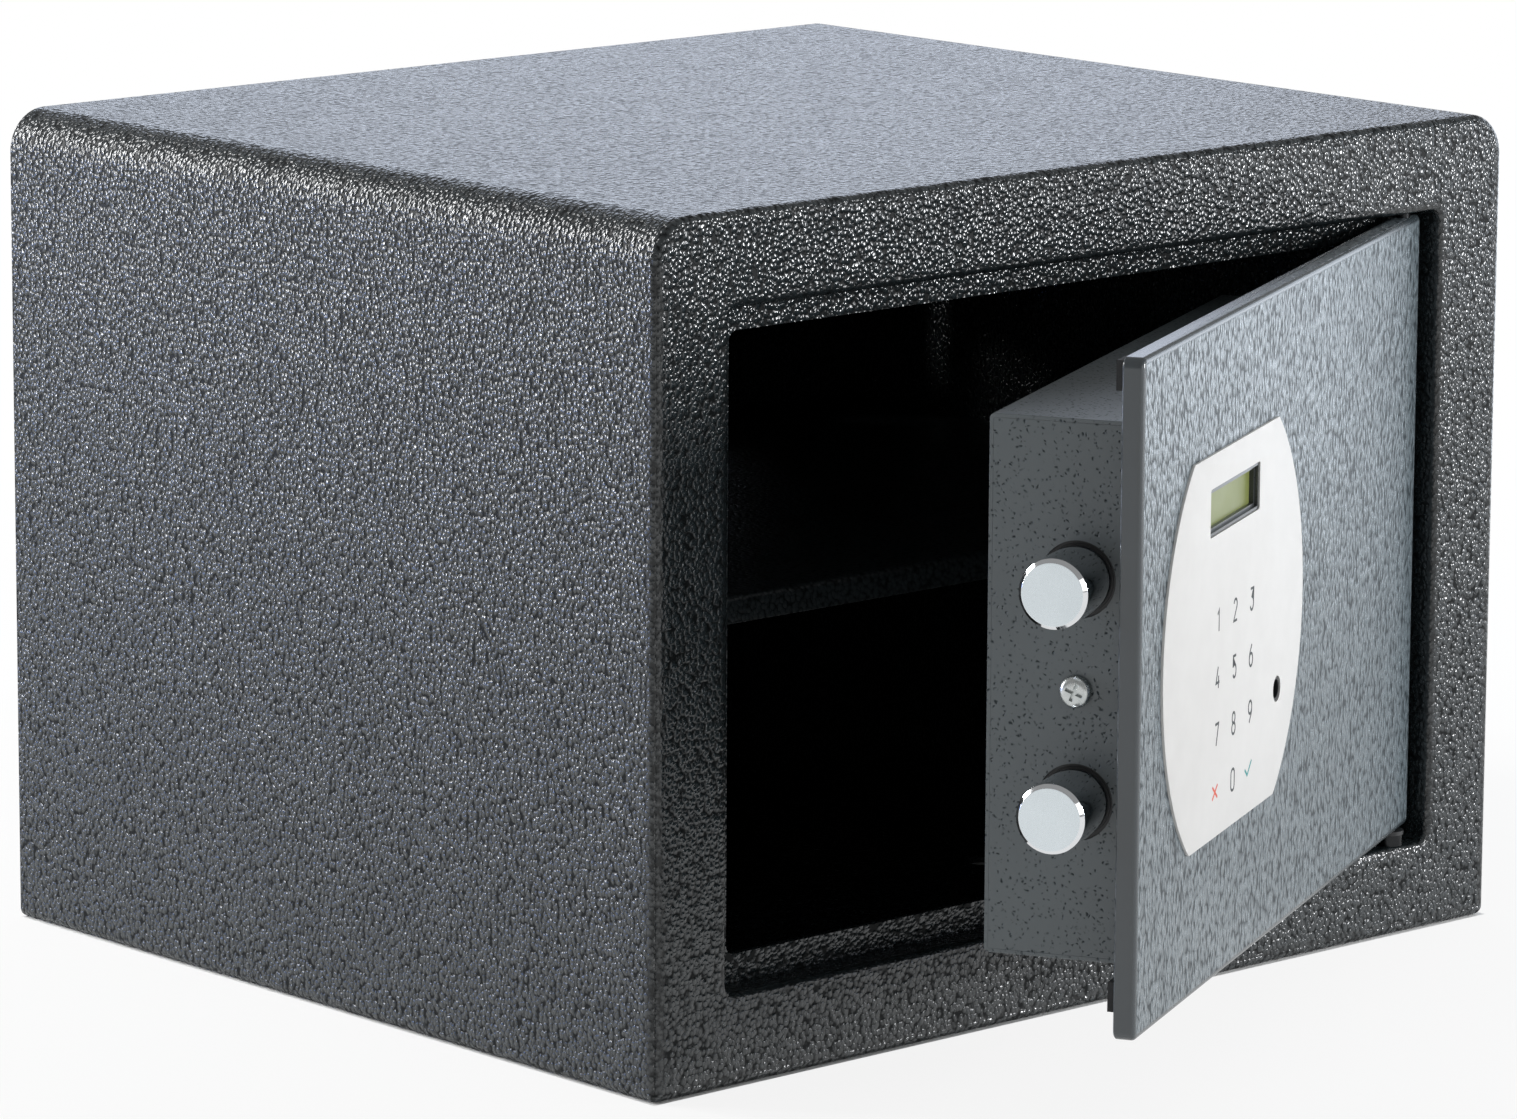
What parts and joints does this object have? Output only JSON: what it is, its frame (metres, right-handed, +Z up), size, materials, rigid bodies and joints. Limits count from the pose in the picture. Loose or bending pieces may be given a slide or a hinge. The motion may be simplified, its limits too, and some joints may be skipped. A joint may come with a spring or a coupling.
{
  "type": "electronic safe",
  "caption": "Free-standing sheet-steel safe with a pin-hung door, two motor-driven round bolts, a numeric keypad and one inner shelf.",
  "frame": {"origin": "under the middle of the cabinet, on the surface that it stands on", "axes": "+X along the front to the hinge side, +Y from the front to the back, +Z up; the door stands 27.8 degrees open"},
  "size_m": [0.35, 0.4282, 0.255],
  "materials": {
    "cabinet_paint": "textured dark grey powder coat",
    "shelf_paint": "black paint",
    "pin_steel": "ground steel",
    "door_paint": "textured mid grey powder coat",
    "case_paint": "textured grey powder coat",
    "buffer_rubber": "black",
    "zinc_screws": "zinc plated",
    "bolt_chrome": "satin chrome",
    "zinc_steel": "zinc plated sheet",
    "brass_gear": "machined brass",
    "overlay_film": "printed film",
    "insert_plastic": "moulded",
    "key_rubber": "silicone",
    "board_laminate": "solder mask",
    "lcd_glass": "display glass",
    "black_plastic": "moulded",
    "cell_jacket": "printed jacket",
    "contact_metal": "nickel plated",
    "button_red": "moulded",
    "key_plastic": "moulded"
  },
  "bodies": {
    "cabinet": {"front_frame": "cabinet_paint", "stop_ring": "cabinet_paint", "body_wrap": "cabinet_paint", "base_panel": "cabinet_paint", "back_panel": "cabinet_paint", "shelf": "shelf_paint", "shelf_angles": "shelf_paint", "hinge_blocks": "cabinet_paint", "hinge_pins": "pin_steel", "thrust_washer": "black_plastic"},
    "door": {"door_plate": "door_paint", "rubber_buffers": "buffer_rubber", "lock_bracket": "case_paint", "case_cover": "case_paint", "cover_screws": "zinc_screws", "guide_block": "black_plastic", "side_screw": "zinc_screws", "gear_motor": "zinc_steel", "motor_bracket": "zinc_steel", "bracket_screws": "zinc_screws", "keypad_overlay": "overlay_film", "keypad_insert": "insert_plastic", "key_mat": "key_rubber", "keypad_board": "board_laminate", "keypad_screws": "zinc_screws", "lcd_bezel": "insert_plastic", "lcd_glass": "lcd_glass", "lcd_module": "black_plastic", "jack_socket": "black_plastic", "jack_contact": "brass_gear", "control_board": "board_laminate", "board_parts": "black_plastic", "board_screws": "zinc_screws", "battery_tray": "black_plastic", "battery_cells": "cell_jacket", "battery_contacts": "contact_metal", "battery_cover": "black_plastic", "code_button_body": "black_plastic"},
    "bolts": {"bolt_upper": "bolt_chrome", "bolt_lower": "bolt_chrome", "bolt_carriage": "zinc_steel", "bolt_screws": "zinc_screws", "drive_rack": "zinc_steel"},
    "pinion": {"drive_pinion": "brass_gear"},
    "code_button": {"code_button_cap": "button_red"},
    "key_body_1": {"key_1": "key_plastic"},
    "key_body_2": {"key_2": "key_plastic"},
    "key_body_3": {"key_3": "key_plastic"},
    "key_body_4": {"key_4": "key_plastic"},
    "key_body_5": {"key_5": "key_plastic"},
    "key_body_6": {"key_6": "key_plastic"},
    "key_body_7": {"key_7": "key_plastic"},
    "key_body_8": {"key_8": "key_plastic"},
    "key_body_9": {"key_9": "key_plastic"},
    "key_body_star": {"key_star": "key_plastic"},
    "key_body_0": {"key_0": "key_plastic"},
    "key_body_hash": {"key_hash": "key_plastic"}
  },
  "joints": [
    {"name": "door_hinge", "type": "hinge", "parent": "cabinet", "child": "door", "pos_m": [0.135, -0.1454, 0.129], "axis": [0, 0, 1], "range_deg": [-27.8, 72.2]},
    {"name": "bolts_slide", "type": "slide", "parent": "door", "child": "bolts", "axis": [-0.8846, -0.4664, 0], "range_m": [-0.021, 0]},
    {"name": "pinion_turn", "type": "hinge", "parent": "door", "child": "pinion", "pos_m": [-0.06042, -0.21859, 0.12835], "axis": [0, 0, 1], "range_deg": [0, 200.54]},
    {"name": "code_button_press", "type": "slide", "parent": "door", "child": "code_button", "axis": [0.4664, -0.8846, 0], "range_m": [0, 0.0015], "stiffness_N_per_m": 600, "springref_m": -0.001},
    {"name": "key_press_1", "type": "slide", "parent": "door", "child": "key_body_1", "axis": [-0.4664, 0.8846, 0], "range_m": [0, 0.0004], "stiffness_N_per_m": 1500, "springref_m": -0.0002},
    {"name": "key_press_2", "type": "slide", "parent": "door", "child": "key_body_2", "axis": [-0.4664, 0.8846, 0], "range_m": [0, 0.0004], "stiffness_N_per_m": 1500, "springref_m": -0.0002},
    {"name": "key_press_3", "type": "slide", "parent": "door", "child": "key_body_3", "axis": [-0.4664, 0.8846, 0], "range_m": [0, 0.0004], "stiffness_N_per_m": 1500, "springref_m": -0.0002},
    {"name": "key_press_4", "type": "slide", "parent": "door", "child": "key_body_4", "axis": [-0.4664, 0.8846, 0], "range_m": [0, 0.0004], "stiffness_N_per_m": 1500, "springref_m": -0.0002},
    {"name": "key_press_5", "type": "slide", "parent": "door", "child": "key_body_5", "axis": [-0.4664, 0.8846, 0], "range_m": [0, 0.0004], "stiffness_N_per_m": 1500, "springref_m": -0.0002},
    {"name": "key_press_6", "type": "slide", "parent": "door", "child": "key_body_6", "axis": [-0.4664, 0.8846, 0], "range_m": [0, 0.0004], "stiffness_N_per_m": 1500, "springref_m": -0.0002},
    {"name": "key_press_7", "type": "slide", "parent": "door", "child": "key_body_7", "axis": [-0.4664, 0.8846, 0], "range_m": [0, 0.0004], "stiffness_N_per_m": 1500, "springref_m": -0.0002},
    {"name": "key_press_8", "type": "slide", "parent": "door", "child": "key_body_8", "axis": [-0.4664, 0.8846, 0], "range_m": [0, 0.0004], "stiffness_N_per_m": 1500, "springref_m": -0.0002},
    {"name": "key_press_9", "type": "slide", "parent": "door", "child": "key_body_9", "axis": [-0.4664, 0.8846, 0], "range_m": [0, 0.0004], "stiffness_N_per_m": 1500, "springref_m": -0.0002},
    {"name": "key_press_star", "type": "slide", "parent": "door", "child": "key_body_star", "axis": [-0.4664, 0.8846, 0], "range_m": [0, 0.0004], "stiffness_N_per_m": 1500, "springref_m": -0.0002},
    {"name": "key_press_0", "type": "slide", "parent": "door", "child": "key_body_0", "axis": [-0.4664, 0.8846, 0], "range_m": [0, 0.0004], "stiffness_N_per_m": 1500, "springref_m": -0.0002},
    {"name": "key_press_hash", "type": "slide", "parent": "door", "child": "key_body_hash", "axis": [-0.4664, 0.8846, 0], "range_m": [0, 0.0004], "stiffness_N_per_m": 1500, "springref_m": -0.0002}
  ],
  "couplings": [
    {"joint": "pinion_turn", "follows": "bolts_slide", "rad_per_m": -166.67}
  ]
}
